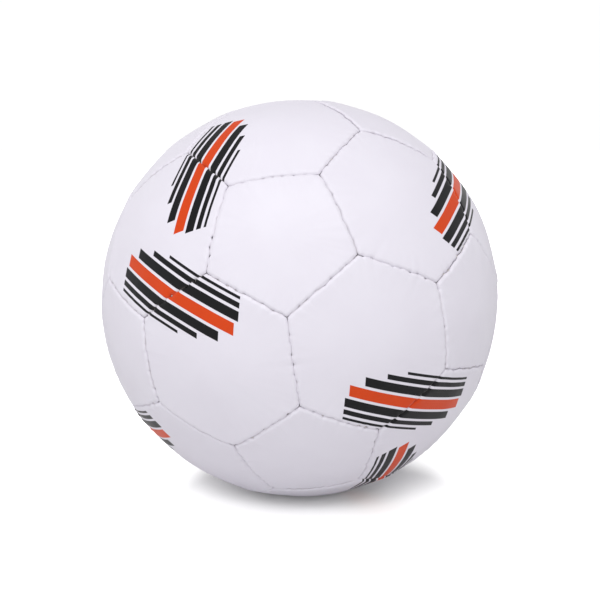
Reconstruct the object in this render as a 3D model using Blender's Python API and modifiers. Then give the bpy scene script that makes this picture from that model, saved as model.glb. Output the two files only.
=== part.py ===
"""Hand-sewn football: twelve pentagon and twenty hexagon panels stitched over an inflated bladder.

The panels are sewn inside out, so each has its edge rolled over and its margin turned in. Neighbours meet
margin to margin, with the thread between them. The valve is at the back, in the middle of a hexagon, and
its core pulls out along the valve's axis. The origin is the middle of the ball, +Z is up, and the ball is
turned as it lies in the picture, seen along +Y.
"""

import math

import bmesh
import bpy
from mathutils import Matrix, Vector

# Cover, in metres
BALL_DIAMETER = 0.220
PANEL_THICKNESS = 0.0026
PANEL_CROWN = 0.0007  # how far a panel's middle stands above its edge
EDGE_ROLL_WIDTH = 0.0026
EDGE_ROLL_DEPTH = 0.0013
SEAM_LIP = 0.0006  # height in which the seam opens out below the rolled edges
STITCH_MARGIN = 0.0020  # how far the turned-in margin reaches below the panel's back
THREAD_DIAMETER = 0.0008
CLEARANCE = 0.0003  # between any two pieces

# Bladder and its patch
BLADDER_WALL = 0.0010
PATCH_WIDTH = 0.0100
PATCH_THICKNESS = 0.0008

# Valve core
CORE_DIAMETER = 0.0044
CORE_LENGTH = 0.0150
CORE_HEAD_LIP = 0.0010
CORE_HEAD_HEIGHT = 0.0012
CORE_TIP = 0.0060  # solid rubber below the needle's bore
NEEDLE_BORE = 0.0013
NEEDLE_FUNNEL_WIDTH = 0.0007
NEEDLE_FUNNEL_DEPTH = 0.0010

# Valve housing
VALVE_RECESS = 0.0008  # below the middle of its panel
VALVE_WALL = 0.0014
VALVE_FLOOR = 0.0015
VALVE_BASE_WIDTH = 0.0060
VALVE_BASE_THICKNESS = 0.0012
AIR_HOLE = 0.0016

# How the ball lies, in degrees: the panel in front, and the ball's turn about that panel's middle
FRONT_PANEL_ELEVATION = 24.2
FRONT_PANEL_AZIMUTH = -5.8
BALL_TURN = 62.0

# Facets
SEAM_DIVISIONS = 3
ROLL_DIVISIONS = 2
TURN_STEPS = 24
BLADDER_ARC_STEPS = 16
SHARP_ANGLE = 30.0
MERGE_DISTANCE = 0.00001

# Depths below the ball's outside, and insets from a seam's line, that several pieces share
BALL_RADIUS = BALL_DIAMETER / 2
CHANNEL_INSET = THREAD_DIAMETER / 2 + CLEARANCE
CHANNEL_DEPTH = PANEL_CROWN + EDGE_ROLL_DEPTH + SEAM_LIP
BACK_DEPTH = PANEL_CROWN + PANEL_THICKNESS
MARGIN_DEPTH = BACK_DEPTH + STITCH_MARGIN
THREAD_RADIUS = BALL_RADIUS - (CHANNEL_DEPTH + MARGIN_DEPTH) / 2

# Radii and heights of the valve about its axis, heights measured from the ball's middle
CORE_RADIUS = CORE_DIAMETER / 2
HEAD_RADIUS = CORE_RADIUS + CORE_HEAD_LIP
HEAD_SEAT_RADIUS = HEAD_RADIUS + CLEARANCE
BOSS_RADIUS = HEAD_SEAT_RADIUS + VALVE_WALL
VALVE_HOLE_RADIUS = BOSS_RADIUS + CLEARANCE
VALVE_TOP = BALL_RADIUS - VALVE_RECESS


def linear(hex_colour):
    """The linear colour of an sRGB value such as "F2F0F5"."""
    channels = (int(hex_colour[i : i + 2], 16) / 255 for i in (0, 2, 4))
    return [c / 12.92 if c <= 0.04045 else ((c + 0.055) / 1.055) ** 2.4 for c in channels]


def make_material(name, hex_colour, roughness):
    """A plain Principled material for one kind of piece."""
    material = bpy.data.materials.new(name)
    material.use_nodes = True
    shader = material.node_tree.nodes["Principled BSDF"]
    shader.inputs["Base Color"].default_value = (*linear(hex_colour), 1.0)
    shader.inputs["Roughness"].default_value = roughness
    shader.inputs["Metallic"].default_value = 0.0
    return material


def make_collection(name):
    collection = bpy.data.collections.new(name)
    bpy.context.scene.collection.children.link(collection)
    return collection


def make_empty(collection, name, parent, turn):
    empty = bpy.data.objects.new(name, None)
    empty.parent = parent
    empty.matrix_local = turn.to_4x4()
    collection.objects.link(empty)
    return empty


def make_piece(collection, name, mesh, parent, turn=None):
    """One named piece of the ball, turned about the ball's middle."""
    piece = bpy.data.objects.new(name, mesh)
    piece.parent = parent
    piece.matrix_local = (turn or Matrix.Identity(3)).to_4x4()
    collection.objects.link(piece)
    return piece


def finish_mesh(shape, name, material):
    """Turns a bmesh into a mesh with its faces pointing out and its round parts shaded smooth."""
    bmesh.ops.recalc_face_normals(shape, faces=shape.faces[:])
    mesh = bpy.data.meshes.new(name)
    shape.to_mesh(mesh)
    shape.free()
    mesh.shade_smooth()
    mesh.set_sharp_from_angle(angle=math.radians(SHARP_ANGLE))
    mesh.materials.append(material)
    return mesh


def sewing_net():
    """The seams' lines: an icosahedron with each corner cut off a third of the way along its edges."""
    net = bmesh.new()
    bmesh.ops.create_icosphere(net, subdivisions=1, radius=BALL_RADIUS)
    third = {"offset": 100 / 3, "offset_type": "PERCENT"}
    bmesh.ops.bevel(net, geom=net.verts[:], affect="VERTICES", segments=1, **third)
    net.edges.ensure_lookup_table()
    return net


def face_turn(face):
    """The turn that takes +Z to the face's middle and +X towards its first corner."""
    middle = face.calc_center_median().normalized()
    corner = face.verts[0].co
    across = (corner - middle * corner.dot(middle)).normalized()
    return Matrix((across, middle.cross(across), middle)).transposed()


def seam_outline(face):
    """Directions along the face's seams, with its middle on +Z and the same divisions on every seam."""
    to_local = face_turn(face).transposed()
    corners = [to_local @ vert.co for vert in face.verts]
    outline = []
    for start, end in zip(corners, corners[1:] + corners[:1]):
        outline += [start.lerp(end, k / SEAM_DIVISIONS).normalized() for k in range(SEAM_DIVISIONS)]
    return outline


def panel_sections(apothem):
    """(inset, depth) of a panel's rings: over its crown and rolled edge, down its margin, up its back."""
    edge_inset = CLEARANCE / 2
    crown_span = apothem - edge_inset - EDGE_ROLL_WIDTH
    half_way = apothem / 2
    half_way_depth = PANEL_CROWN * (half_way / crown_span) ** 2
    sections = [(half_way, half_way_depth)]
    for k in range(ROLL_DIVISIONS + 1):
        angle = k / ROLL_DIVISIONS * math.pi / 2
        inset = edge_inset + EDGE_ROLL_WIDTH * (1 - math.sin(angle))
        sections.append((inset, PANEL_CROWN + EDGE_ROLL_DEPTH * (1 - math.cos(angle))))
    sections += [
        (CHANNEL_INSET, CHANNEL_DEPTH),
        (CHANNEL_INSET, MARGIN_DEPTH),
        (CHANNEL_INSET + PANEL_THICKNESS, MARGIN_DEPTH),
        (CHANNEL_INSET + PANEL_THICKNESS, BACK_DEPTH),
        (half_way, half_way_depth + PANEL_THICKNESS),
    ]
    return sections


def panel_mesh(face, name, material):
    """A crowned panel, its margin turned in, lofted through rings that are insets of its seam outline."""
    outline = seam_outline(face)
    side_middle = (outline[0] + outline[SEAM_DIVISIONS]).normalized()
    apothem_angle = side_middle.angle(Vector((0, 0, 1)))
    mesh = bmesh.new()

    def ring(inset, depth):
        shrink = math.tan(apothem_angle - inset / BALL_RADIUS) / math.tan(apothem_angle)
        spots = (Vector((p.x / p.z * shrink, p.y / p.z * shrink, 1)).normalized() for p in outline)
        return [mesh.verts.new(spot * (BALL_RADIUS - depth)) for spot in spots]

    rings = [ring(inset, depth) for inset, depth in panel_sections(apothem_angle * BALL_RADIUS)]
    crown = mesh.verts.new((0, 0, BALL_RADIUS))
    back = mesh.verts.new((0, 0, BALL_RADIUS - PANEL_THICKNESS))
    for k in range(len(outline)):
        following = (k + 1) % len(outline)
        mesh.faces.new((crown, rings[0][k], rings[0][following]))
        for upper, lower in zip(rings, rings[1:]):
            mesh.faces.new((upper[k], lower[k], lower[following], upper[following]))
        mesh.faces.new((back, rings[-1][following], rings[-1][k]))
    return finish_mesh(mesh, name, material)


def thread_lines(net):
    """The seams' lines, divided as the panels' edges are, at the depth where the thread runs."""
    lines = net.copy()
    bmesh.ops.subdivide_edges(lines, edges=lines.edges[:], cuts=SEAM_DIVISIONS - 1)
    for vert in lines.verts:
        vert.co = vert.co.normalized() * THREAD_RADIUS
    return lines


def thread_mesh(lines, material):
    """A four-sided strand along every line, ridged above, below and at its sides, mitred where lines meet."""
    strand = bmesh.new()
    half = THREAD_DIAMETER / 2
    above, below, left, right = {}, {}, {}, {}
    for vert in lines.verts:
        up = vert.co.normalized()
        above[vert] = strand.verts.new(vert.co + up * half)
        below[vert] = strand.verts.new(vert.co - up * half)
        ahead = {edge: edge.other_vert(vert).co - vert.co for edge in vert.link_edges}
        first = ahead[vert.link_edges[0]].normalized()
        beside = up.cross(first)
        heading = {edge: math.atan2(way.dot(beside), way.dot(first)) for edge, way in ahead.items()}
        arms = sorted(heading, key=heading.get)
        for arm, following in zip(arms, arms[1:] + arms[:1]):
            opening = (heading[following] - heading[arm]) % math.tau
            mitre = heading[arm] + opening / 2
            reach = half / math.sin(opening / 2)
            spot = vert.co + (first * math.cos(mitre) + beside * math.sin(mitre)) * reach
            left[vert, arm] = right[vert, following] = strand.verts.new(spot)
    for edge in lines.edges:
        a, b = edge.verts
        near = (above[a], left[a, edge], below[a], right[a, edge])
        far = (above[b], right[b, edge], below[b], left[b, edge])
        for k in range(len(near)):
            strand.faces.new((near[k - 1], near[k], far[k], far[k - 1]))
    return finish_mesh(strand, "seam_thread", material)


def add_turned_piece(collection, name, profile, closed, material, valve):
    """Spins a profile of (radius, height) points, run down its outer side, about the valve's axis."""
    outline = bmesh.new()
    verts = [outline.verts.new((radius, 0, height)) for radius, height in profile]
    for start, end in zip(verts, verts[1:]):
        outline.edges.new((start, end))
    if closed:
        outline.edges.new((verts[-1], verts[0]))
    mesh = bpy.data.meshes.new(name)
    outline.to_mesh(mesh)
    outline.free()
    mesh.materials.append(material)
    screw = make_piece(collection, name, mesh, valve).modifiers.new("Turned", "SCREW")
    screw.steps = TURN_STEPS
    screw.render_steps = TURN_STEPS
    screw.use_merge_vertices = True
    screw.merge_threshold = MERGE_DISTANCE
    screw.use_smooth_shade = False


def facet_dip(angle):
    """How much nearer the middle of a flat facet is to the ball's middle than its ends, as a ratio."""
    return math.cos(angle / 2)


def bladder_radius(net):
    """Outside of the bladder, clear of the lowest points of the panels' margins."""
    seam = net.edges[0]
    step = seam.verts[0].co.angle(seam.verts[1].co) / SEAM_DIVISIONS
    return (BALL_RADIUS - MARGIN_DEPTH) * facet_dip(step) - CLEARANCE


def on_sphere(sphere_radius, radius):
    """Height of a sphere's surface at a radius from the valve's axis."""
    return math.sqrt(sphere_radius**2 - radius**2)


def bladder_profile(outside):
    """A hollow ball that is open where the valve goes through."""
    inside = outside - BLADDER_WALL

    def arc(sphere_radius):
        first = math.asin(VALVE_HOLE_RADIUS / sphere_radius)
        angles = [first + (math.pi - first) * k / BLADDER_ARC_STEPS for k in range(BLADDER_ARC_STEPS)]
        points = [(sphere_radius * math.sin(a), sphere_radius * math.cos(a)) for a in angles]
        return points + [(0, -sphere_radius)]

    return arc(inside)[::-1] + arc(outside)


def patch_profile(outside):
    """A thin ring of rubber that ties the valve to the bladder's outside."""
    inner, outer = VALVE_HOLE_RADIUS, VALVE_HOLE_RADIUS + PATCH_WIDTH
    under, over = outside + CLEARANCE, outside + CLEARANCE + PATCH_THICKNESS
    return [
        (inner, on_sphere(under, inner)),
        (inner, on_sphere(over, inner)),
        (outer, on_sphere(over, outer)),
        (outer, on_sphere(under, outer)),
    ]


def housing_profile(bladder_outside):
    """A rubber tube with a seat for the core's head, and a base that bears on the bladder from inside."""
    bore = CORE_RADIUS + CLEARANCE
    stem = bore + VALVE_WALL
    base = BOSS_RADIUS + VALVE_BASE_WIDTH
    lowest_inside = (bladder_outside - BLADDER_WALL) * facet_dip(math.pi / BLADDER_ARC_STEPS)
    base_top = on_sphere(lowest_inside, base) - CLEARANCE
    head_seat = VALVE_TOP - CORE_HEAD_HEIGHT - CLEARANCE
    bore_floor = VALVE_TOP - CORE_LENGTH - CLEARANCE
    return [
        (AIR_HOLE / 2, bore_floor - VALVE_FLOOR),
        (AIR_HOLE / 2, bore_floor),
        (bore, bore_floor),
        (bore, head_seat),
        (HEAD_SEAT_RADIUS, head_seat),
        (HEAD_SEAT_RADIUS, VALVE_TOP),
        (BOSS_RADIUS, VALVE_TOP),
        (BOSS_RADIUS, base_top),
        (base, base_top),
        (base, base_top - VALVE_BASE_THICKNESS),
        (stem, base_top - VALVE_BASE_THICKNESS),
        (stem, bore_floor - VALVE_FLOOR),
    ]


def core_profile():
    """A plug with a head, and a funnel that leads the pump's needle into its bore."""
    bore = NEEDLE_BORE / 2
    core_end = VALVE_TOP - CORE_LENGTH
    return [
        (0, core_end + CORE_TIP),
        (bore, core_end + CORE_TIP),
        (bore, VALVE_TOP - NEEDLE_FUNNEL_DEPTH),
        (bore + NEEDLE_FUNNEL_WIDTH, VALVE_TOP),
        (HEAD_RADIUS, VALVE_TOP),
        (HEAD_RADIUS, VALVE_TOP - CORE_HEAD_HEIGHT),
        (CORE_RADIUS, VALVE_TOP - CORE_HEAD_HEIGHT),
        (CORE_RADIUS, core_end),
        (0, core_end),
    ]


def faces_from_front(net, side_count, lie):
    """The net's faces of so many sides, in order from the front of the ball to its back."""
    faces = [face for face in net.faces if len(face.verts) == side_count]
    return sorted(faces, key=lambda face: (lie @ face.calc_center_median()).y)


def add_panels(net, lie, valve_face, parts, root):
    """Adds every panel, numbered from the front of the ball to its back."""
    cover = make_material("white_synthetic_leather", "F2F0F5", 0.42)
    for side_count, name in ((5, "pentagon_panel"), (6, "hexagon_panel")):
        faces = faces_from_front(net, side_count, lie)
        shared = panel_mesh(faces[0], name, cover)
        for number, face in enumerate(faces, start=1):
            title = "valve_panel" if face == valve_face else f"{name}_{number:02d}"
            make_piece(parts, title, shared, root, face_turn(face))


def cut_valve_hole(cutters, valve):
    """Cuts the valve's hole through the middle of its panel."""
    panel = bpy.data.objects["valve_panel"]
    drill = bmesh.new()
    bmesh.ops.create_cone(
        drill,
        cap_ends=True,
        segments=TURN_STEPS,
        radius1=VALVE_HOLE_RADIUS,
        radius2=VALVE_HOLE_RADIUS,
        depth=2 * MARGIN_DEPTH,
        matrix=Matrix.Translation((0, 0, BALL_RADIUS)),
    )
    mesh = finish_mesh(drill, "valve_hole", panel.data.materials[0])
    cutter = make_piece(cutters, "valve_hole", mesh, valve)
    cutter.hide_render = True
    cutter.display_type = "WIRE"
    cut = panel.modifiers.new("Valve hole", "BOOLEAN")
    cut.operation = "DIFFERENCE"
    cut.solver = "EXACT"
    cut.object = cutter


def add_thread(net, parts, root):
    """Adds the stitching: one net of thread along every seam, between the panels' margins."""
    polyester = make_material("waxed_polyester_thread", "C9C4C2", 0.6)
    lines = thread_lines(net)
    make_piece(parts, "seam_thread", thread_mesh(lines, polyester), root)
    lines.free()


def add_bladder_and_valve(net, parts, valve):
    """Adds the turned pieces, which all share the valve's axis."""
    outside = bladder_radius(net)
    butyl = make_material("black_butyl_rubber", "1C1C1E", 0.55)
    grey = make_material("grey_valve_rubber", "4A4A4D", 0.5)
    add_turned_piece(parts, "bladder", bladder_profile(outside), False, butyl, valve)
    add_turned_piece(parts, "valve_patch", patch_profile(outside), True, butyl, valve)
    add_turned_piece(parts, "valve_housing", housing_profile(outside), True, grey, valve)
    add_turned_piece(parts, "valve_core", core_profile(), False, grey, valve)


def main():
    for thing in list(bpy.data.objects):
        bpy.data.objects.remove(thing)
    parts = make_collection("football")
    cutters = make_collection("football_cutters")
    azimuth = Matrix.Rotation(math.radians(FRONT_PANEL_AZIMUTH), 3, "Z")
    tilt = Matrix.Rotation(math.radians(90 - FRONT_PANEL_ELEVATION), 3, "X")
    lie = azimuth @ tilt @ Matrix.Rotation(math.radians(BALL_TURN), 3, "Z")
    root = make_empty(parts, "ball", None, lie)
    net = sewing_net()
    valve_face = faces_from_front(net, 6, lie)[-1]
    valve = make_empty(parts, "valve", root, face_turn(valve_face))
    add_panels(net, lie, valve_face, parts, root)
    cut_valve_hole(cutters, valve)
    add_thread(net, parts, root)
    add_bladder_and_valve(net, parts, valve)
    net.free()
    bpy.context.view_layer.update()


main()
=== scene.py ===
"""Looks of a hand-sewn football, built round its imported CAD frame.

The thirty-two panels, their thread, the bladder and the valve are surfaces worked out with numpy on the same
sewing net as the solids. Lengths are in metres, and the ball's middle is the origin.
"""

import math

import bpy
import numpy as np
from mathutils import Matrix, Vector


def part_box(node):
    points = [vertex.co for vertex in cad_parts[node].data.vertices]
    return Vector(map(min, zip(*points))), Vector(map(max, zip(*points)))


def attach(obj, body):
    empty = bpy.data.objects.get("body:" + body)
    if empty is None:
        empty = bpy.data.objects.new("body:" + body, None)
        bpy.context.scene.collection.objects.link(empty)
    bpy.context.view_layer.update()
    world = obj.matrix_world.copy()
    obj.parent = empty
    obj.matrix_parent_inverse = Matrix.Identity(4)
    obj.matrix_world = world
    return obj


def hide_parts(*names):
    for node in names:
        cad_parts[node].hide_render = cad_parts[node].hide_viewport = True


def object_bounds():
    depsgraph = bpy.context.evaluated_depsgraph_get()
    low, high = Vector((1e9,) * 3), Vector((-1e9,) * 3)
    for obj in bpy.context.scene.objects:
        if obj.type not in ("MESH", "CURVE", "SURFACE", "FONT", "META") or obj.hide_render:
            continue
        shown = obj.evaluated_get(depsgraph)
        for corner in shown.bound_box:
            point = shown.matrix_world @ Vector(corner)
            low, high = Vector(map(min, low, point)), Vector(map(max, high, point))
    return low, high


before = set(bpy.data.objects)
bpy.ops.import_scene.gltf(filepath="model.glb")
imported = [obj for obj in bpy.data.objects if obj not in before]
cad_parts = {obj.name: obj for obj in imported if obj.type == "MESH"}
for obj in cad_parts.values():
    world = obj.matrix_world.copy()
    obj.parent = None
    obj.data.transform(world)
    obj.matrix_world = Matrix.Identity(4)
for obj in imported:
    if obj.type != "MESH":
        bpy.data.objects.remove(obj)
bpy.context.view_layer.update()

MM = 0.001

# How the ball lies, in degrees: the panel in front, and the ball's turn about that panel's middle
FRONT_PANEL_ELEVATION = 24.2
FRONT_PANEL_AZIMUTH = -5.8
BALL_TURN = 62.0

# Panels
BALL_RADIUS = 110 * MM
PANEL_THICKNESS = 2.6 * MM
PANEL_CROWN = 0.7 * MM  # how much more than a round one a panel's back falls towards its edge
EDGE_SLOPE = 0.76  # of a panel's edge, compared with a round ball's
FLATNESS = 1.8  # how soon the slope stops growing on the way to the edge
EDGE_DEPTH = 0.72 * MM  # of the seam below the round ball
ROLL_WIDTH = 1.8 * MM  # of the edge that rolls over into the seam
MARGIN_LENGTH = 2.0 * MM  # how far the turned-in margin reaches below the panel's back
BACK_DEPTH = PANEL_CROWN + PANEL_THICKNESS
MARGIN_DEPTH = BACK_DEPTH + MARGIN_LENGTH
UNEVENNESS = 0.10 * MM  # height of the inflated cover's slow swells
SWELLS = 5  # sines that make them up
SWELL_TURN = 12.0  # spread of the sines' wave numbers, in radians for each radius of the ball

# Hand stitching
STITCHES = 9  # on each seam
STITCH_STRAY = 0.09  # how far a stitch strays from its place, in stitches
STITCH_STRENGTH = (0.35, 1.0)  # least and greatest pull of a stitch
STITCH_PUSH = 0.7  # spread of the sideways pushes of the stitches
STITCH_SPREAD = 0.95 * MM  # how far along the seam a stitch is felt
STITCH_OPENING = 0.65 * MM  # how far a stitch draws an edge back from the seam
STITCH_PUCKER = 0.7 * MM  # how deep it draws the edge in
STITCH_SCALLOP = 0.38 * MM  # how far it pushes the seam sideways
PUCKER_REACH = 1.3 * MM  # how far from the seam a stitch is felt
SEAM_TENSION = (0.3, 1.4)  # least and greatest pucker of a seam, compared with the usual one
SEAM_SLACK = (0.4, 1.0)  # least and greatest opening at a seam's stitches, compared with the full one
SEAM_DIRT_AND_SHADE = (0.25, 1.0)  # least and greatest share of dirt and painted shade in a seam
SEAM_GAP = (0.0, 0.01 * MM)  # half of the least and the greatest gap between two edges
SEAM_STEP = 0.22 * MM  # how far one edge stands above the other
SEAM_WANDER = 0.45 * MM
WANDER_WAVES = (1, 3, 5)  # along a seam
SEAM_RIPPLE = 0.16 * MM  # depth of the cover's ripples along a seam
RIPPLE_WAVES = (3, 5, 7)
RIPPLE_REACH = 6.0 * MM
CORNER_FADE = 8.0  # how fast wander, step and ripples grow from a corner
CORNER_OPENING = 0.18 * MM
CORNER_DEPTH = 0.45 * MM
CORNER_REACH = 1.5 * MM
# how far from the seam the dirt and the painted shade in the crease reach
DIRT_AND_SHADE_REACH = 0.25 * MM
THREAD_RADIUS = 0.36 * MM
THREAD_LOW = 4.1 * MM  # depth between two stitches
THREAD_HIGH = 1.45 * MM  # depth where a stitch shows
THREAD_TWIST = 2.4 * MM  # length of one turn of its plies
THREAD_LOBE = 0.14  # how far a ply stands out, as a share of the radius

# Bladder and valve, about the valve's axis, heights measured from the ball's middle
BLADDER_RADIUS = 104.1 * MM
BLADDER_WALL = 1.0 * MM
PATCH_WIDTH = 10.0 * MM
PATCH_THICKNESS = 0.8 * MM
CLEARANCE = 0.3 * MM
VALVE_RECESS = 0.8 * MM
VALVE_TOP = BALL_RADIUS - VALVE_RECESS
VALVE_WALL = 1.4 * MM
VALVE_FLOOR = 1.5 * MM
VALVE_BASE_WIDTH = 6.0 * MM
VALVE_BASE_THICKNESS = 1.2 * MM
AIR_HOLE_RADIUS = 0.8 * MM
CORE_RADIUS = 2.2 * MM
CORE_LENGTH = 15.0 * MM
CORE_TIP = 6.0 * MM
HEAD_RADIUS = 3.2 * MM
HEAD_HEIGHT = 1.2 * MM
NEEDLE_RADIUS = 0.65 * MM
FUNNEL_WIDTH = 0.7 * MM
FUNNEL_DEPTH = 1.0 * MM
BOSS_RADIUS = HEAD_RADIUS + CLEARANCE + VALVE_WALL
VALVE_HOLE_RADIUS = BOSS_RADIUS + CLEARANCE
HOLE_ROUNDING = 0.5 * MM
RUBBER_ROUNDING = 0.25 * MM
ROUNDING_SHARE = 0.4  # of a side's length, at most

# Print: bundles of seven straight bars, (middle, half size) along and across, over seams of two hexagons
PRINT_SEAMS = [1, 4]  # one of each printed set of seams
PRINT_SKEW = 33.0  # degrees from square to the seam
PRINT_SLANT = 0.35  # how far a bar's end leans for each unit across
PRINT_EDGE = 0.07 * MM  # softness of the ink's edge
CORE_BAR = ((0.0, 0.0), (38.0 * MM, 2.9 * MM))
BLACK_BARS = (  # on one side; the other side is this one turned half round
    ((5.0 * MM, 6.6 * MM), (35.0 * MM, 2.3 * MM)),
    ((11.0 * MM, 11.6 * MM), (29.0 * MM, 1.3 * MM)),
    ((17.0 * MM, 15.1 * MM), (23.0 * MM, 0.7 * MM)),
)
PRINT_SHIFT = 0.7 * MM  # how far the print of two panels fails to meet
PRINT_TURN = 0.9  # degrees

# Photograph, in pixels, and its camera, in metres, degrees and millimetres of lens
PHOTO_WIDTH = 600
BALL_MIDDLE_X = 299.67
BALL_MIDDLE_Y = 298.05
CAMERA_DISTANCE = 0.58
CAMERA_ELEVATION = 9.0
CAMERA_LENS = 61.85

# Light: a tent that is white near the horizon, a softbox overhead and a large lamp above the camera, in degrees
TENT_SIDE = 0.44
BACKDROP = 0.58  # added to the tent near the horizon
BACKDROP_EDGES = (24.0, 16.0)  # above the horizon, where it starts and where it is full
SOFTBOX = 0.96  # added to the tent overhead
SOFTBOX_EDGES = (25.0, 15.0)  # from the zenith, where it starts and where it is full
SOFT_LAMP = (2.19, 40.0, 54.0, -12.0)  # strength, spread, elevation and azimuth

# Floor: the camera sees one that two lamps of its own light past white, and the ball is lit by one just below it
FLOOR_REACH = 12.0
FLOOR_GAP = 0.5 * MM
FLOOR_PAPER = "EEEEEE"
BOUNCE_PAPER = "E8E8E8"
FLOOR_LAMPS = {"front_floor_lamp": (4.0, 30.0, 29.0, -9.0), "back_floor_lamp": (2.7, 20.0, 52.0, -165.0)}

# Finishes: sRGB colours, sizes of patterns and ranges of roughness. A pixel of the picture is 0.55 mm, so patterns
# that are finer than that are drawn coarser
FILM_WHITE = ("D5D2DB", "D0CCD6")
INK_ORANGE = ("C84212", "BE3A0F")
INK_BLACK = "111114"
# grey of the seams' dirt and of the shade painted into their creases
SEAM_SHADE_AND_DIRT_GREY = "9A908E"
FILM_MOTTLE = 22 * MM
FILM_GRAIN = 0.9 * MM  # drawn coarser than the film's, which is about 0.3 mm
MOTTLE_NOISE = (0.3, 0.7)  # where the roughness starts and stops growing
FILM_ROUGHNESS = (0.44, 0.52)
INK_SMOOTHNESS = 0.08  # how much less rough the ink is
# size of the spots in the seams' dirt and painted shade
DIRT_AND_SHADE_SPOT = 4 * MM
DIRT_AND_SHADE_NOISE = (0.38, 0.64)  # where the seams' dirt and painted shade start and stop growing
DIRT_AND_SHADE_SHARE = (0.05, 0.50)  # of the seam's grey of dirt and painted shade, in a clean and in a dirty spot
LINING_CREAM = ("B9B09C", "DDD6C6")
LINING_PITCH = 0.8 * MM  # from thread to thread, drawn coarser than the cloth's, which is about 0.4 mm
LINING_ROUGHNESS = (0.95, 0.8)
THREAD_WHITE = ("D9D4CE", "A9A29C")
THREAD_SPOT = 3 * MM
THREAD_FIBRE = 0.25 * MM  # drawn coarser than a fibre, which is about 0.02 mm
THREAD_ROUGHNESS = (0.5, 0.7)
BUTYL_BLACK = ("1A1A1C", "2A2A2C")
BUTYL_PORE = 0.8 * MM  # drawn coarser than a blasted mould's pores, as are the valve's
VALVE_GREY = ("2E2E31", "444447")
VALVE_PORE = 0.4 * MM
RUBBER_BLOOM = 6 * MM
RUBBER_ROUGHNESS = (0.5, 0.68)
WAVE_PERIOD = 0.314  # of Blender's wave texture at a scale of one

# Fineness of the surfaces
SIDE_POINTS = 72
CROWN_RINGS = np.array([0.08, 0.18, 0.29, 0.40, 0.51, 0.61, 0.70, 0.78, 0.85, 0.91, 0.96])  # way to the roll
ROLL_RINGS = 12
LINED_RINGS = 6  # of a panel's rings, counted from its back
THREAD_POINTS = 110
THREAD_SIDES = 6
TURN_POINTS = 96
BLADDER_POINTS = 60
PATCH_POINTS = 12
BEND_POINTS = 5  # on each rounded edge

# Chances of hand work, drawn for each pair of the net's sixty corners
RNG = np.random.default_rng(32)
PAIRS = (60, 60)
STITCH_AT = (np.arange(STITCHES) + 0.5 + RNG.normal(0, STITCH_STRAY, (*PAIRS, STITCHES))) / STITCHES
STITCH_PULL = RNG.uniform(*STITCH_STRENGTH, (*PAIRS, STITCHES))
STITCH_SIDE = RNG.normal(0, STITCH_PUSH, (*PAIRS, STITCHES))
WANDER_PHASE = RNG.uniform(0, math.tau, (*PAIRS, len(WANDER_WAVES)))
HALF_GAP = RNG.uniform(*SEAM_GAP, PAIRS)
EDGE_STEP = RNG.normal(0, SEAM_STEP, PAIRS)
SWELL_WAVE = RNG.normal(0, SWELL_TURN, (SWELLS, 3))
SWELL_PHASE = RNG.uniform(0, math.tau, SWELLS)
TENSION = RNG.uniform(*SEAM_TENSION, PAIRS)
LOOSENESS = RNG.uniform(*SEAM_SLACK, PAIRS)
RIPPLE_PHASE = RNG.uniform(0, math.tau, (*PAIRS, len(RIPPLE_WAVES)))
# each seam's share of dirt and painted shade
SEAM_SOIL_AND_SHADE = RNG.uniform(*SEAM_DIRT_AND_SHADE, PAIRS)


def unit(vectors):
    """Vectors scaled to length one."""
    return vectors / np.linalg.norm(vectors, axis=-1, keepdims=True)


def turned_about(axis, degrees):
    """The matrix of a right-handed turn about a world axis, 0 for X and 2 for Z."""
    c, s = math.cos(math.radians(degrees)), math.sin(math.radians(degrees))
    first, second = (axis + 1) % 3, (axis + 2) % 3
    matrix = np.eye(3)
    matrix[first, first] = matrix[second, second] = c
    matrix[first, second], matrix[second, first] = -s, s
    return matrix


def sewing_net():
    """Middles of the 12 pentagons and 20 hexagons, the 60 seam corners, and each corner's pentagon.

    An icosahedron has a corner at each pole and five on each of the two latitudes whose tangent is a half. The
    cosine of the angle between neighbours is the square root of a fifth. A pentagon sits on each corner and a
    hexagon on each face, and a seam corner lies a third of the way along each edge from either end.
    """
    lie = turned_about(2, FRONT_PANEL_AZIMUTH) @ turned_about(0, 90 - FRONT_PANEL_ELEVATION)
    lie = lie @ turned_about(2, BALL_TURN)
    turn = np.radians(72 * np.arange(5))
    upper = np.stack([np.cos(turn), np.sin(turn), np.full(5, 0.5)], axis=1)
    poles = np.array([(0, 0, 1), (0, 0, -1)])
    tips = unit(np.concatenate([poles, upper, -upper])) @ lie.T
    near = np.isclose(tips @ tips.T, math.sqrt(1 / 5))
    start, end = np.nonzero(near)
    corners = unit(2 * tips[start] + tips[end])
    a, b, c = np.nonzero(near[:, :, None] & near[:, None, :] & near[None])
    once = (a < b) & (b < c)
    hexagons = unit(tips[a[once]] + tips[b[once]] + tips[c[once]])
    return tips, hexagons, corners, start


PENTAGONS, HEXAGONS, CORNERS, CORNER_PENTAGON = sewing_net()


def corners_round(middle, sides):
    """Indices of a panel's corners, anticlockwise from outside; a hexagon's first side is shared by a hexagon."""
    found = np.argsort(-(CORNERS @ middle))[:sides]
    across = unit(CORNERS[found[0]] - middle * (CORNERS[found[0]] @ middle))
    spread = CORNERS[found] @ np.stack([across, np.cross(middle, across)], axis=1)
    found = found[np.argsort(np.arctan2(spread[:, 1], spread[:, 0]))]
    if sides == 6 and CORNER_PENTAGON[found[0]] == CORNER_PENTAGON[found[1]]:
        found = np.roll(found, -1)
    return found


SEAM_LENGTH = BALL_RADIUS * math.acos(np.sort(CORNERS[0] @ CORNERS.T)[-2])


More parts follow.
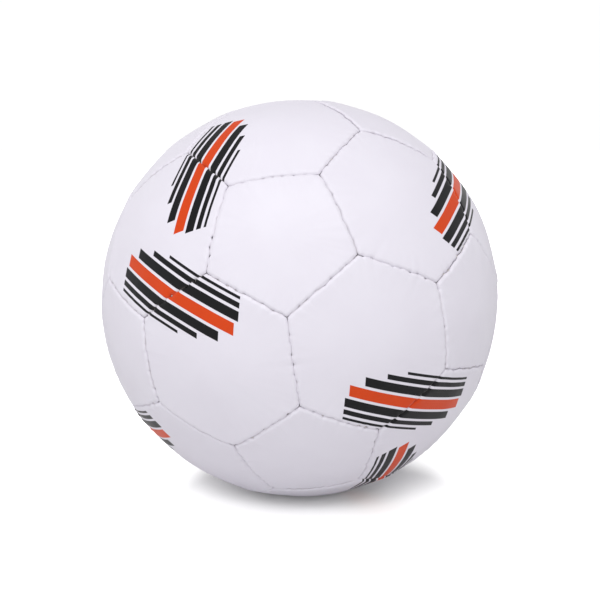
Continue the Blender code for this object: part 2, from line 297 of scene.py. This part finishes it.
def seam_shape(start, end, along):
    """(pull, gap, wander, drop) at fractions along the seams between corners, each of shape (seam, point).

    Pull is a sum of bell curves, one at each stitch, times the seam's tension. Gap is half of the opening between
    the two edges, and grows with the cube of that sum. Wander moves the seam sideways: the mean of three sines and
    a bell curve at each stitch. Drop lowers one edge and lifts the other by the seam's step, and adds the ripples,
    the mean of three more sines. Wander and drop die out at both corners, and the signs of wander and step differ
    for the seam's two panels.
    """
    low, high = np.minimum(start, end), np.maximum(start, end)
    backward = (start > end)[:, None]
    place = np.where(backward, 1 - along, along)
    reach = (place[..., None] - STITCH_AT[low, high][:, None]) * SEAM_LENGTH / STITCH_SPREAD
    bell = np.exp(-(reach**2))
    pull = (STITCH_PULL[low, high][:, None] * bell).sum(axis=2)
    gap = HALF_GAP[low, high][:, None] + STITCH_OPENING * LOOSENESS[low, high][:, None] * pull**3
    turns = math.tau * place[..., None]
    waves = np.sin(turns * WANDER_WAVES + WANDER_PHASE[low, high][:, None])
    ripples = np.sin(turns * RIPPLE_WAVES + RIPPLE_PHASE[low, high][:, None])
    fade = np.minimum(1, CORNER_FADE * place * (1 - place))
    scallop = (STITCH_SIDE[low, high][:, None] * bell).sum(axis=2)
    wander = (SEAM_WANDER * waves.mean(axis=2) + STITCH_SCALLOP * scallop) * fade
    side = np.where(backward, -1, 1)
    drop = (EDGE_STEP[low, high][:, None] * side + SEAM_RIPPLE * ripples.mean(axis=2)) * fade
    return pull * TENSION[low, high][:, None], gap, wander * side, drop


def panel_rings(apothem):
    """(inset, depth, how much the stitches move it, crease) of a panel's rings, from its middle to its back.

    The slope grows with the hyperbolic tangent of the way to the roll, so a panel is round in its middle and almost
    flat near its seams. Its depth below the round ball is that slope's integral, a logarithm of the hyperbolic
    cosine, less the ball's own fall. The edge then rolls over with the square of the way across the roll. The
    margin is turned in and folded back under the panel. What the stitches move, and the dirt and painted shade in
    the crease, die away exponentially with the inset.
    """
    way = np.append(CROWN_RINGS, 1.0)
    span = apothem - ROLL_WIDTH
    bend = np.sin(np.linspace(0, math.pi / 2, ROLL_RINGS))
    bulge = EDGE_SLOPE / (FLATNESS * math.tanh(FLATNESS)) * np.log(np.cosh(FLATNESS * way))
    fall = (bulge - way**2 / 2) * span**2 / BALL_RADIUS
    top_inset = np.concatenate([ROLL_WIDTH + span * (1 - CROWN_RINGS), ROLL_WIDTH * (1 - bend)])
    top_depth = np.concatenate([fall[:-1], fall[-1] + (EDGE_DEPTH - fall[-1]) * bend**2])
    under = np.array([
        (0.02 * MM, EDGE_DEPTH + 0.5 * MM, 0.9),  # foot of the lip that meets the neighbour
        (0.4 * MM, EDGE_DEPTH + 1.0 * MM, 0.4),  # channel for the thread
        (0.4 * MM, MARGIN_DEPTH - 0.6 * MM, 0.0),
        (0.7 * MM, MARGIN_DEPTH, 0.0),  # foot of the margin
        (PANEL_THICKNESS - 0.4 * MM, MARGIN_DEPTH, 0.0),
        (PANEL_THICKNESS, MARGIN_DEPTH - 0.6 * MM, 0.0),  # inner side of the margin
        (PANEL_THICKNESS, BACK_DEPTH + 0.4 * MM, 0.0),
        (PANEL_THICKNESS + 0.5 * MM, BACK_DEPTH, 0.0),  # back of the panel
        (0.5 * apothem, PANEL_THICKNESS + 0.3 * PANEL_CROWN, 0.0),
    ])
    inset = np.concatenate([top_inset, under[:, 0]])
    depth = np.concatenate([top_depth, under[:, 1]])
    moved = np.concatenate([np.exp(-top_inset / PUCKER_REACH), under[:, 2]])
    # crease: the share of the seam's dirt and painted shade
    crease = np.concatenate([np.exp(-top_inset / DIRT_AND_SHADE_REACH), np.ones(len(under))])
    return inset, depth, moved, crease


def swells(directions):
    """Slow unevenness of the cover: the mean of five sines of the direction from the ball's middle."""
    return UNEVENNESS * np.sin(directions @ SWELL_WAVE.T + SWELL_PHASE).mean(axis=-1)


def panel_surface(middle, found, hole_radius):
    """Rings of points over a panel's crown, rolled edge, margin and back, shape (ring, point, 3), and their crease.

    Each ring is the seam outline shrunk towards the middle on the plane that touches the ball there, so that its
    sides keep their inset, then put back on a sphere less its depth. Stitches and corners draw the edge in and
    back. Round a valve's hole the rings change from the outline to a circle.
    """
    across = unit(CORNERS[found[0]] - middle * (CORNERS[found[0]] @ middle))
    axes = np.stack([across, np.cross(middle, across), middle])
    start, end = found, np.roll(found, -1)
    along = np.arange(SIDE_POINTS) / SIDE_POINTS
    outline = unit(CORNERS[start][:, None] * (1 - along[:, None]) + CORNERS[end][:, None] * along[:, None])
    outline = (outline @ axes.T).reshape(-1, 3)
    flat = outline[:, :2] / outline[:, 2:]
    side_middle = unit(CORNERS[start[0]] + CORNERS[end[0]])
    apothem_angle = math.acos(side_middle @ middle)

    pull, gap, wander, drop = (values.ravel() for values in seam_shape(start, end, along))
    to_corner = SEAM_LENGTH * np.tile(np.minimum(along, 1 - along), len(found))
    inset, depth, moved, crease = panel_rings(apothem_angle * BALL_RADIUS)
    inset, depth, moved = inset[:, None], depth[:, None], moved[:, None]
    at_corner = np.exp(-((to_corner / CORNER_REACH) ** 2)) * moved**1.5
    rippled = moved ** (PUCKER_REACH / RIPPLE_REACH)
    depth = depth + STITCH_PUCKER * pull * moved + drop * rippled + CORNER_DEPTH * at_corner
    inset = inset + wander * moved + (gap + CORNER_OPENING * at_corner) * moved**3

    shrink = np.tan(apothem_angle - inset / BALL_RADIUS) / math.tan(apothem_angle)
    reach = np.linalg.norm(flat, axis=1)
    radius = reach * shrink
    if hole_radius:
        hole, first = hole_radius / BALL_RADIUS, shrink[0].mean()
        radius = hole + (reach - hole) * (shrink - first) / (1 - first)
    spots = (flat / reach[:, None])[None] * radius[..., None]
    directions = unit(np.concatenate([spots, np.ones_like(spots[..., :1])], axis=2)) @ axes
    lift = swells(directions) * (1 - moved**2)
    # each seam's share of its dirt and painted shade, times the crease
    soil_and_shade = np.repeat(SEAM_SOIL_AND_SHADE[np.minimum(start, end), np.maximum(start, end)], SIDE_POINTS)
    return directions * (BALL_RADIUS - depth + lift - UNEVENNESS)[..., None], (crease[:, None] * soil_and_shade).ravel()


def ring_quads(rings, points, joined):
    """Quads between rings that run anticlockwise from outside; joined closes the last ring on the first."""
    ring, point = np.meshgrid(np.arange(rings if joined else rings - 1), np.arange(points), indexing="ij")
    below, beside = (ring + 1) % rings, (point + 1) % points
    corners = [ring * points + point, below * points + point, below * points + beside, ring * points + beside]
    return np.stack([c.ravel() for c in corners], axis=1)


def pole_fans(rings, points):
    """Three-cornered faces from a first and a last pole, which follow the rings' points, to the end rings."""
    here = np.arange(points)
    beside = (here + 1) % points
    first, last = np.full(points, rings * points), np.full(points, rings * points + 1)
    foot = (rings - 1) * points
    fans = np.stack([first, here, beside], axis=1), np.stack([last, foot + beside, foot + here], axis=1)
    return np.concatenate(fans)


def make_piece(name, rings, poles, materials, body, nodes):
    """Makes a piece from rings of points and, unless they join up, two poles; it stands for CAD nodes on a body."""
    count, points = rings.shape[:2]
    quads = ring_quads(count, points, poles is None)
    fans = pole_fans(count, points) if poles is not None else np.zeros((0, 3), int)
    spots = rings.reshape(-1, 3) if poles is None else np.concatenate([rings.reshape(-1, 3), poles])
    mesh = bpy.data.meshes.new(name)
    mesh.from_pydata(spots.tolist(), [], quads.tolist() + fans.tolist())
    mesh.shade_smooth()
    for material in materials:
        mesh.materials.append(material)
    piece = bpy.data.objects.new(name, mesh)
    bpy.context.scene.collection.objects.link(piece)
    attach(piece, body)
    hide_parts(*nodes)
    return piece, spots, quads, fans


def printed_seams():
    """Middles of the printed seams.

    The cosine of the angle between neighbouring hexagons is a third of the square root of five. Their thirty seams
    fall into five sets of six, whose middles lie on three axes square to each other. Two sets are printed.
    """
    neighbours = np.isclose(HEXAGONS @ HEXAGONS.T, math.sqrt(5) / 3)
    first, second = np.nonzero(np.triu(neighbours))
    middles = unit(HEXAGONS[first] + HEXAGONS[second])
    cosine = np.abs(middles @ middles[PRINT_SEAMS].T)
    square, same = np.isclose(cosine, 0), np.isclose(cosine, 1)
    return middles[(square | same).any(axis=1)]


PRINTED = printed_seams()


def print_places(middle, directions):
    """(x, y) of directions in each of a panel's prints, x along the bars, shape (print, direction, 2).

    Each print is centred on the middle of a printed seam. A direction's place in it is its arc from there, turned
    from square to the seam by the skew, with a small slip of its own. On a bare panel every place is far away.
    """
    own_seams = 0.9  # least cosine between a panel's middle and the middles of its seams
    centre = PRINTED[PRINTED @ middle > own_seams]
    if not len(centre):
        return np.ones((1, len(directions), 2))
    inward = unit(middle - centre * (centre @ middle)[:, None])
    beside = np.cross(centre, inward)
    skew = np.radians(PRINT_SKEW + RNG.normal(0, PRINT_TURN, len(centre)))[:, None]
    along = np.cos(skew) * inward + np.sin(skew) * beside
    across = np.cos(skew) * beside - np.sin(skew) * inward
    cosine = np.clip(directions @ centre.T, -1, 1).T
    arc = BALL_RADIUS * np.arccos(cosine) / np.sqrt(np.maximum(1 - cosine**2, 1e-12))
    place = np.stack([(directions @ along.T).T * arc, (directions @ across.T).T * arc], axis=2)
    return place + RNG.normal(0, PRINT_SHIFT, (len(centre), 1, 2))


def past_bars(places):
    """How far places in a print lie outside its nearest bar, the larger of the ways along and across."""
    across = np.abs(places[..., 1])
    along = places[..., 0] * np.where(places[..., 1] < 0, -1, 1) + PRINT_SLANT * across
    past = [np.maximum(np.abs(along) - CORE_BAR[1][0], across - CORE_BAR[1][1])]
    for middle, reach in BLACK_BARS:
        past.append(np.maximum(np.abs(along - middle[0]) - reach[0], np.abs(across - middle[1]) - reach[1]))
    return np.min(past, axis=0)


def set_print(piece, faces, places):
    """Writes the print's places as a UV map, each face taking the print that has the nearest bar."""
    layer = piece.data.uv_layers.new(name="print")
    corners = []
    for group in faces:
        nearest = past_bars(places[:, group].mean(axis=2)).argmin(axis=0)
        corners.append(places[nearest[:, None], group].reshape(-1, 2))
    layer.data.foreach_set("uv", np.concatenate(corners).astype(np.float32).ravel())


def set_crease(piece, values):
    """Writes how deep in a seam each point lies, from 0 on the panel to 1 in the seam, as the share of the seams'
    dirt and painted shade.
    """
    crease = piece.data.attributes.new("crease", "FLOAT", "POINT")
    crease.data.foreach_set("value", values.astype(np.float32))


def add_panel(node, cover, lining):
    """One sewn panel on the net's face that its CAD node stands on."""
    sides = 5 if node.startswith("pentagon") else 6
    low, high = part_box(node)
    middles = PENTAGONS if sides == 5 else HEXAGONS
    middle = middles[np.argmax(middles @ np.array((low + high) / 2))]
    found = corners_round(middle, sides)
    hole = VALVE_HOLE_RADIUS + HOLE_ROUNDING if node == "valve_panel" else 0.0
    rings, crease = panel_surface(middle, found, hole)
    poles = None
    if hole:
        rings, crease = with_hole_wall(rings, crease, middle)
    else:
        top = BALL_RADIUS - UNEVENNESS
        poles = np.outer([top, top - PANEL_THICKNESS], middle)
        crease = np.concatenate([crease, [0.0, 1.0]])
    piece, spots, quads, fans = make_piece(node + "_cover", rings, poles, [cover, lining], "ball", [node])
    set_crease(piece, crease)
    set_print(piece, [quads, fans], print_places(middle, unit(spots)))
    back_pole = len(spots) - 1
    lined = quads[:, 0] // rings.shape[1] >= len(rings) - LINED_RINGS
    lined = np.concatenate([lined, fans[:, 0] == back_pole])
    piece.data.polygons.foreach_set("material_index", lined.astype(np.int32))
    return middle


def with_hole_wall(rings, crease, axis):
    """Adds a rounded wall to a panel's rings that lines the valve's hole from its front to its back."""
    height = rings @ axis
    away = unit(rings[0] - height[0][:, None] * axis)
    bend = np.linspace(0, math.pi / 2, BEND_POINTS)[:-1]
    top = height[0].mean()
    bottom = top - PANEL_THICKNESS
    radius = np.concatenate([[VALVE_HOLE_RADIUS], VALVE_HOLE_RADIUS + HOLE_ROUNDING * (1 - np.cos(bend))])
    level = np.concatenate([[bottom], top - HOLE_ROUNDING * (1 - np.sin(bend))])
    wall = away[None] * radius[:, None, None] + axis * level[:, None, None]
    return np.concatenate([wall, rings]), np.concatenate([np.zeros(wall[..., 0].size), crease])


def rounded(profile, joined):
    """A profile with each corner replaced by a parabola that starts and ends on its two sides."""
    before, after = np.roll(profile, 1, axis=0) - profile, np.roll(profile, -1, axis=0) - profile
    first, last = (
        profile + unit(side) * np.minimum(RUBBER_ROUNDING, ROUNDING_SHARE * np.linalg.norm(side, axis=1))[:, None]
        for side in (before, after)
    )
    t = np.linspace(0, 1, BEND_POINTS)[:, None]
    curves = (1 - t) ** 2 * first[:, None] + 2 * t * (1 - t) * profile[:, None] + t**2 * last[:, None]
    if joined:
        return curves.reshape(-1, 2)
    return np.concatenate([profile[:1], curves[1:-1].reshape(-1, 2), profile[-1:]])


def turned_rings(profile, axis, joined):
    """Rings of a (radius, height) profile spun about the axis, and the poles where an open profile ends on it."""
    across = unit(np.cross(axis, (0, 0, 1)))
    angle = np.arange(TURN_POINTS) * math.tau / TURN_POINTS
    spoke = np.cos(angle)[:, None] * across + np.sin(angle)[:, None] * np.cross(axis, across)
    body = profile if joined else profile[1:-1]
    rings = body[:, 0, None, None] * spoke + body[:, 1, None, None] * axis
    return rings, None if joined else profile[[0, -1], 1:] * axis


def bladder_profile():
    """A hollow ball, open where the valve goes through: its inner arc from the far side, then its outer arc."""
    step = np.linspace(0, 1, BLADDER_POINTS)[:, None]
    arcs = []
    for radius in (BLADDER_RADIUS - BLADDER_WALL, BLADDER_RADIUS):
        first = math.asin(VALVE_HOLE_RADIUS / radius)
        angle = first + (math.pi - first) * step
        arcs.append(radius * np.concatenate([np.sin(angle), np.cos(angle)], axis=1))
    return np.concatenate([arcs[0][::-1], arcs[1]])


def patch_profile():
    """A thin disc of rubber with a hole, laid on the bladder: two arcs and the edges between them."""
    radius = np.linspace(VALVE_HOLE_RADIUS, VALVE_HOLE_RADIUS + PATCH_WIDTH, PATCH_POINTS)
    under, over = BLADDER_RADIUS + CLEARANCE, BLADDER_RADIUS + CLEARANCE + PATCH_THICKNESS
    upper = np.stack([radius, np.sqrt(over**2 - radius**2)], axis=1)
    lower = np.stack([radius, np.sqrt(under**2 - radius**2)], axis=1)
    return np.concatenate([upper, lower[::-1]])


def housing_profile():
    """A rubber tube with a seat for the core's head, and a base that bears on the bladder from inside."""
    bore = CORE_RADIUS + CLEARANCE
    stem, base = bore + VALVE_WALL, BOSS_RADIUS + VALVE_BASE_WIDTH
    seat_radius = HEAD_RADIUS + CLEARANCE
    seat = VALVE_TOP - HEAD_HEIGHT - CLEARANCE
    floor = VALVE_TOP - CORE_LENGTH - CLEARANCE
    base_top = math.sqrt((BLADDER_RADIUS - BLADDER_WALL - CLEARANCE) ** 2 - base**2) - CLEARANCE
    return np.array([
        (AIR_HOLE_RADIUS, floor - VALVE_FLOOR),
        (AIR_HOLE_RADIUS, floor),
        (bore, floor),
        (bore, seat),
        (seat_radius, seat),
        (seat_radius, VALVE_TOP),
        (BOSS_RADIUS, VALVE_TOP),
        (BOSS_RADIUS, base_top),
        (base, base_top),
        (base, base_top - VALVE_BASE_THICKNESS),
        (stem, base_top - VALVE_BASE_THICKNESS),
        (stem, floor - VALVE_FLOOR),
    ])


def core_profile():
    """A plug with a head, and a funnel that leads the pump's needle into its bore."""
    end = VALVE_TOP - CORE_LENGTH
    return np.array([
        (0, end + CORE_TIP),
        (NEEDLE_RADIUS, end + CORE_TIP),
        (NEEDLE_RADIUS, VALVE_TOP - FUNNEL_DEPTH),
        (NEEDLE_RADIUS + FUNNEL_WIDTH, VALVE_TOP),
        (HEAD_RADIUS, VALVE_TOP),
        (HEAD_RADIUS, VALVE_TOP - HEAD_HEIGHT),
        (CORE_RADIUS, VALVE_TOP - HEAD_HEIGHT),
        (CORE_RADIUS, end),
        (0, end),
    ])


def thread_strands():
    """Points of the waxed thread, shape (seam, point, side, 3): a twisted strand that rises at every stitch.

    Its middle follows the seam's great circle and wander, at a depth that each stitch lifts by a bell curve. Its
    section is a circle with two slight lobes that turn with the plies' twist.
    """
    longest = 1.1 * SEAM_LENGTH / BALL_RADIUS  # angle under which two corners share a seam
    start, end = np.nonzero(np.triu(CORNERS @ CORNERS.T > math.cos(longest), 1))
    along = np.linspace(0, 1, THREAD_POINTS)
    pull, _, wander, _ = seam_shape(start, end, along)
    line = unit(CORNERS[start][:, None] * (1 - along[:, None]) + CORNERS[end][:, None] * along[:, None])
    beside = unit(np.cross(CORNERS[start], CORNERS[end]))[:, None]
    depth = THREAD_LOW - (THREAD_LOW - THREAD_HIGH) * np.clip(pull, 0, 1)
    middle = line * (BALL_RADIUS - depth)[..., None] + beside * wander[..., None]
    ahead = unit(np.gradient(middle, axis=1))
    over = unit(np.cross(ahead, beside))
    angle = np.arange(THREAD_SIDES) * math.tau / THREAD_SIDES
    twist = math.tau * along * SEAM_LENGTH / THREAD_TWIST
    lobes = THREAD_RADIUS * (1 + THREAD_LOBE * np.cos(2 * (angle - twist[:, None])))
    around = np.cos(angle)[:, None] * beside[..., None, :] + np.sin(angle)[:, None] * over[..., None, :]
    return middle[:, :, None] + around * lobes[None, ..., None]


def linear(hex_colour):
    """The linear colour, with full alpha, of an sRGB value such as "F2F0F5"."""
    srgb = np.array([int(hex_colour[i : i + 2], 16) for i in (0, 2, 4)]) / 255
    return (*np.where(srgb <= 0.04045, srgb / 12.92, ((srgb + 0.055) / 1.055) ** 2.4), 1.0)


def add(tree, kind, links, **settings):
    """Adds a shader node: links gives each socket a constant or another node's output."""
    node = tree.nodes.new("ShaderNode" + kind)
    for name, value in settings.items():
        setattr(node, name, value)
    for socket, value in links.items():
        if isinstance(value, bpy.types.NodeSocket):
            tree.links.new(value, node.inputs[socket])
        else:
            node.inputs[socket].default_value = value
    return node.outputs


def new_material(name, **constants):
    """An empty material with a Principled shader whose constant sockets are set."""
    material = bpy.data.materials.new(name)
    material.use_nodes = True
    tree = material.node_tree
    shader = tree.nodes["Principled BSDF"]
    for socket, value in constants.items():
        shader.inputs[socket.replace("_", " ")].default_value = value
    return material, tree, shader.inputs


def printed_synthetic_leather():
    """Polyurethane film on foam, embossed smooth, screen printed and lacquered.

    It gives a white that is slightly mottled and cool, a broad soft gloss, inks a little glossier than the film,
    and a trace of grey in the seams: dirt, where hands and grass leave it, and shade painted into the creases.
    """
    material, tree, shader = new_material("polyurethane_film_screen_printed", IOR=1.5, Specular_IOR_Level=0.16)
    place = add(tree, "TexCoord", {})["Object"]
    flat = add(tree, "UVMap", {}, uv_map="print")[0]
    x, y, _ = add(tree, "SeparateXYZ", {0: flat})
    lean = add(tree, "Math", {0: y, 1: PRINT_SLANT, 2: x}, operation="MULTIPLY_ADD")[0]
    half = add(tree, "Math", {0: y}, operation="SIGN")[0]
    outward = add(tree, "Math", {0: lean, 1: half}, operation="MULTIPLY")[0]
    height = add(tree, "Math", {0: y}, operation="ABSOLUTE")[0]

    def bar(along, across, bar_size):
        """Ink inside a bar: the larger of the two distances past its sides, with a soft step at nought."""
        past = []
        for value, middle, reach in zip((along, across), *bar_size):
            off = add(tree, "Math", {0: value, 1: middle}, operation="SUBTRACT")[0]
            off = add(tree, "Math", {0: off}, operation="ABSOLUTE")[0]
            past.append(add(tree, "Math", {0: off, 1: reach}, operation="SUBTRACT")[0])
        outside = add(tree, "Math", {0: past[0], 1: past[1]}, operation="MAXIMUM")[0]
        return add(tree, "MapRange", {0: outside, 1: -PRINT_EDGE, 2: PRINT_EDGE, 3: 1.0, 4: 0.0})[0]

    orange = bar(lean, y, CORE_BAR)
    black = bar(outward, height, BLACK_BARS[0])
    for bar_size in BLACK_BARS[1:]:
        black = add(tree, "Math", {0: black, 1: bar(outward, height, bar_size)}, operation="MAXIMUM")[0]
    ink = add(tree, "Math", {0: orange, 1: black}, operation="MAXIMUM")[0]

    mottle = add(tree, "TexNoise", {"Vector": place, "Scale": 1 / FILM_MOTTLE, "Detail": 2.0})[0]
    grain = add(tree, "TexNoise", {"Vector": place, "Scale": 1 / FILM_GRAIN, "Detail": 2.0})[0]
    white, vivid = (
        add(tree, "Mix", {0: mottle, 6: linear(first), 7: linear(last)}, data_type="RGBA")[2]
        for first, last in (FILM_WHITE, INK_ORANGE)
    )
    colour = add(tree, "Mix", {0: orange, 6: white, 7: vivid}, data_type="RGBA")[2]
    colour = add(tree, "Mix", {0: black, 6: colour, 7: linear(INK_BLACK)}, data_type="RGBA")[2]
    # The seams take a grey that is partly dirt and partly painted shade, strongest in the crease and spotty along
    # it
    crease = add(tree, "Attribute", {}, attribute_name="crease")["Fac"]
    spots = add(tree, "TexNoise", {"Vector": place, "Scale": 1 / DIRT_AND_SHADE_SPOT, "Detail": 3.0})[0]
    share = add(tree, "MapRange", dict(enumerate((spots, *DIRT_AND_SHADE_NOISE, *DIRT_AND_SHADE_SHARE))))[0]
    dirt_and_shade = add(tree, "Math", {0: crease, 1: share}, operation="MULTIPLY")[0]
    colour = add(tree, "Mix", {0: dirt_and_shade, 6: colour, 7: linear(SEAM_SHADE_AND_DIRT_GREY)}, data_type="RGBA")[2]
    tree.links.new(colour, shader["Base Color"])
    worn = add(tree, "MapRange", dict(enumerate((mottle, *MOTTLE_NOISE, *FILM_ROUGHNESS))))[0]
    gloss = add(tree, "MapRange", {0: ink, 3: 0.0, 4: -INK_SMOOTHNESS})[0]
    tree.links.new(add(tree, "Math", {0: worn, 1: gloss}, operation="ADD")[0], shader["Roughness"])
    bump = add(tree, "Bump", {"Strength": 0.12, "Distance": 0.05 * MM, "Height": grain})[0]
    tree.links.new(bump, shader["Normal"])
    return material


def woven_lining():
    """Plain-woven cotton and polyester cloth, glued behind the film: an unbleached cream with a fine weave."""
    material, tree, shader = new_material("woven_cotton_lining", IOR=1.5, Sheen_Weight=0.15)
    place = add(tree, "TexCoord", {})["Object"]
    bands = {"Vector": place, "Scale": WAVE_PERIOD / LINING_PITCH, "Distortion": 0.6}
    warp, weft = (add(tree, "TexWave", bands, bands_direction=way)[1] for way in ("X", "Z"))
    weave = add(tree, "Math", {0: warp, 1: weft}, operation="MULTIPLY")[0]
    gap, crest = (linear(cream) for cream in LINING_CREAM)
    colour = add(tree, "Mix", {0: weave, 6: gap, 7: crest}, data_type="RGBA")[2]
    tree.links.new(colour, shader["Base Color"])
    in_gap, on_crest = LINING_ROUGHNESS
    tree.links.new(add(tree, "MapRange", {0: weave, 3: in_gap, 4: on_crest})[0], shader["Roughness"])
    bump = add(tree, "Bump", {"Strength": 0.4, "Distance": 0.2 * MM, "Height": weave})[0]
    tree.links.new(bump, shader["Normal"])
    return material


def waxed_thread():
    """Twisted polyester drawn through wax: off-white, dull, greyed by handling, with the plies' slant."""
    material, tree, shader = new_material("waxed_polyester_thread", IOR=1.55, Sheen_Weight=0.2)
    place = add(tree, "TexCoord", {})["Object"]
    soil_and_shade = add(tree, "TexNoise", {"Vector": place, "Scale": 1 / THREAD_SPOT, "Detail": 3.0})[0]
    fibres = add(tree, "TexNoise", {"Vector": place, "Scale": 1 / THREAD_FIBRE, "Detail": 1.0})[0]
    clean, greyed = (linear(white) for white in THREAD_WHITE)
    colour = add(tree, "Mix", {0: soil_and_shade, 6: clean, 7: greyed}, data_type="RGBA")[2]
    tree.links.new(colour, shader["Base Color"])
    waxy, rubbed = THREAD_ROUGHNESS
    tree.links.new(add(tree, "MapRange", {0: soil_and_shade, 3: waxy, 4: rubbed})[0], shader["Roughness"])
    bump = add(tree, "Bump", {"Strength": 0.5, "Distance": 0.05 * MM, "Height": fibres})[0]
    tree.links.new(bump, shader["Normal"])
    return material


def moulded_rubber(name, colours, pore):
    """Rubber cured in a blasted mould: a dull dark skin with fine pores and a faint pale bloom."""
    material, tree, shader = new_material(name, IOR=1.52)
    place = add(tree, "TexCoord", {})["Object"]
    bloom = add(tree, "TexNoise", {"Vector": place, "Scale": 1 / RUBBER_BLOOM, "Detail": 4.0})[0]
    pores = add(tree, "TexNoise", {"Vector": place, "Scale": 1 / pore, "Detail": 2.0})[0]
    dark, light = (linear(colour) for colour in colours)
    colour = add(tree, "Mix", {0: bloom, 6: dark, 7: light}, data_type="RGBA")[2]
    tree.links.new(colour, shader["Base Color"])
    bare, bloomed = RUBBER_ROUGHNESS
    tree.links.new(add(tree, "MapRange", {0: bloom, 3: bare, 4: bloomed})[0], shader["Roughness"])
    bump = add(tree, "Bump", {"Strength": 0.25, "Distance": 0.05 * MM, "Height": pores})[0]
    tree.links.new(bump, shader["Normal"])
    return material


def add_ball():
    """Every piece of the ball, each in the place of its CAD node."""
    cover, lining = printed_synthetic_leather(), woven_lining()
    butyl = moulded_rubber("cured_butyl_rubber", BUTYL_BLACK, BUTYL_PORE)
    valve_rubber = moulded_rubber("moulded_valve_rubber", VALVE_GREY, VALVE_PORE)
    panels = [node for node in sorted(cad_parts) if "panel" in node]
    middles = {node: add_panel(node, cover, lining) for node in panels}
    axis = middles["valve_panel"]
    for name, profile, joined, material, body, slot in (
        ("bladder", bladder_profile(), False, butyl, "ball", "bladder"),
        ("valve_patch", patch_profile(), True, butyl, "ball", "bladder"),
        ("valve_housing", rounded(housing_profile(), True), True, valve_rubber, "ball", "valve"),
        ("valve_core", rounded(core_profile(), False), False, valve_rubber, "valve_core", "valve"),
    ):
        rings, poles = turned_rings(profile, axis, joined)
        make_piece(name + "_rubber", rings, poles, [material], body, [name])


def add_thread(material):
    """Puts the strands of every seam into one mesh, each closed by a face at either end."""
    strands = thread_strands()
    seams, points, sides = strands.shape[:3]
    quads = ring_quads(points, sides, False)
    ends = np.stack([np.arange(sides), (points - 1) * sides + np.arange(sides)[::-1]])
    first = (np.arange(seams) * points * sides)[:, None, None]
    mesh = bpy.data.meshes.new("seam_stitching")
    faces = (quads[None] + first).reshape(-1, 4).tolist() + (ends[None] + first).reshape(-1, sides).tolist()
    mesh.from_pydata(strands.reshape(-1, 3).tolist(), [], faces)
    mesh.shade_smooth()
    mesh.materials.append(material)
    piece = bpy.data.objects.new("seam_stitching", mesh)
    bpy.context.scene.collection.objects.link(piece)
    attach(piece, "ball")
    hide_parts("seam_thread")


def add_floor(name, level, paper, seen):
    """A flat square of paper, which either the camera sees or the light meets."""
    material, _, shader = new_material("matt_" + name + "_paper", Roughness=0.9)
    shader["Base Color"].default_value = linear(paper)
    x, y = FLOOR_REACH * np.array([(-1, 1, 1, -1), (-1, -1, 1, 1)])
    mesh = bpy.data.meshes.new(name)
    mesh.from_pydata(np.stack([x, y, np.full(4, level)], axis=1).tolist(), [], [(0, 1, 2, 3)])
    mesh.materials.append(material)
    floor = bpy.data.objects.new(name, mesh)
    floor.visible_camera = seen
    floor.visible_diffuse = floor.visible_glossy = floor.visible_shadow = not seen
    bpy.context.scene.collection.objects.link(floor)
    return floor


def add_lamp(name, strength, spread, elevation, azimuth):
    """A large soft lamp far away, above the ball and to one side of it."""
    lamp = bpy.data.lights.new(name, "SUN")
    lamp.energy = strength
    lamp.angle = math.radians(spread)
    holder = bpy.data.objects.new(name, lamp)
    holder.rotation_euler = (math.radians(90 - elevation), 0, math.radians(azimuth))
    bpy.context.scene.collection.objects.link(holder)
    return holder


def add_stage():
    """A pale floor under the ball, a light tent all round, soft lamps in front and behind, and the camera."""
    scene = bpy.context.scene
    scene.view_settings.view_transform = "Standard"
    low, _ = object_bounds()
    lit_floor = bpy.data.collections.new("lit_floor")
    lit_floor.objects.link(add_floor("floor", low.z, FLOOR_PAPER, True))
    add_floor("bounce_floor", low.z - FLOOR_GAP, BOUNCE_PAPER, False)
    add_lamp("soft_lamp", *SOFT_LAMP)
    for name, settings in FLOOR_LAMPS.items():
        add_lamp(name, *settings).light_linking.receiver_collection = lit_floor

    scene.world = bpy.data.worlds.new("light_tent")
    scene.world.use_nodes = True
    tree = scene.world.node_tree
    tent = tree.nodes["Background"].inputs
    tent["Color"].default_value = (1.0, 1.0, 1.0, 1.0)
    direction = add(tree, "TexCoord", {})["Generated"]
    upward = add(tree, "SeparateXYZ", {0: direction})[2]
    start, full = (math.sin(math.radians(edge)) for edge in BACKDROP_EDGES)
    backdrop = add(tree, "MapRange", {0: upward, 1: full, 2: start, 3: TENT_SIDE + BACKDROP, 4: TENT_SIDE})[0]
    start, full = (math.cos(math.radians(edge)) for edge in SOFTBOX_EDGES)
    softbox = add(tree, "MapRange", {0: upward, 1: start, 2: full, 3: 0.0, 4: SOFTBOX})[0]
    tree.links.new(add(tree, "Math", {0: backdrop, 1: softbox}, operation="ADD")[0], tent["Strength"])

    lens = bpy.data.cameras.new("camera")
    lens.lens = CAMERA_LENS
    lens.clip_start = 0.01
    lens.shift_x = (PHOTO_WIDTH / 2 - BALL_MIDDLE_X) / PHOTO_WIDTH
    lens.shift_y = (BALL_MIDDLE_Y - PHOTO_WIDTH / 2) / PHOTO_WIDTH
    camera = bpy.data.objects.new("camera", lens)
    tilt = math.radians(CAMERA_ELEVATION)
    camera.location = (0, -CAMERA_DISTANCE * math.cos(tilt), CAMERA_DISTANCE * math.sin(tilt))
    camera.rotation_euler = (math.pi / 2 - tilt, 0, 0)
    scene.collection.objects.link(camera)
    scene.camera = camera


add_ball()
add_thread(waxed_thread())
add_stage()
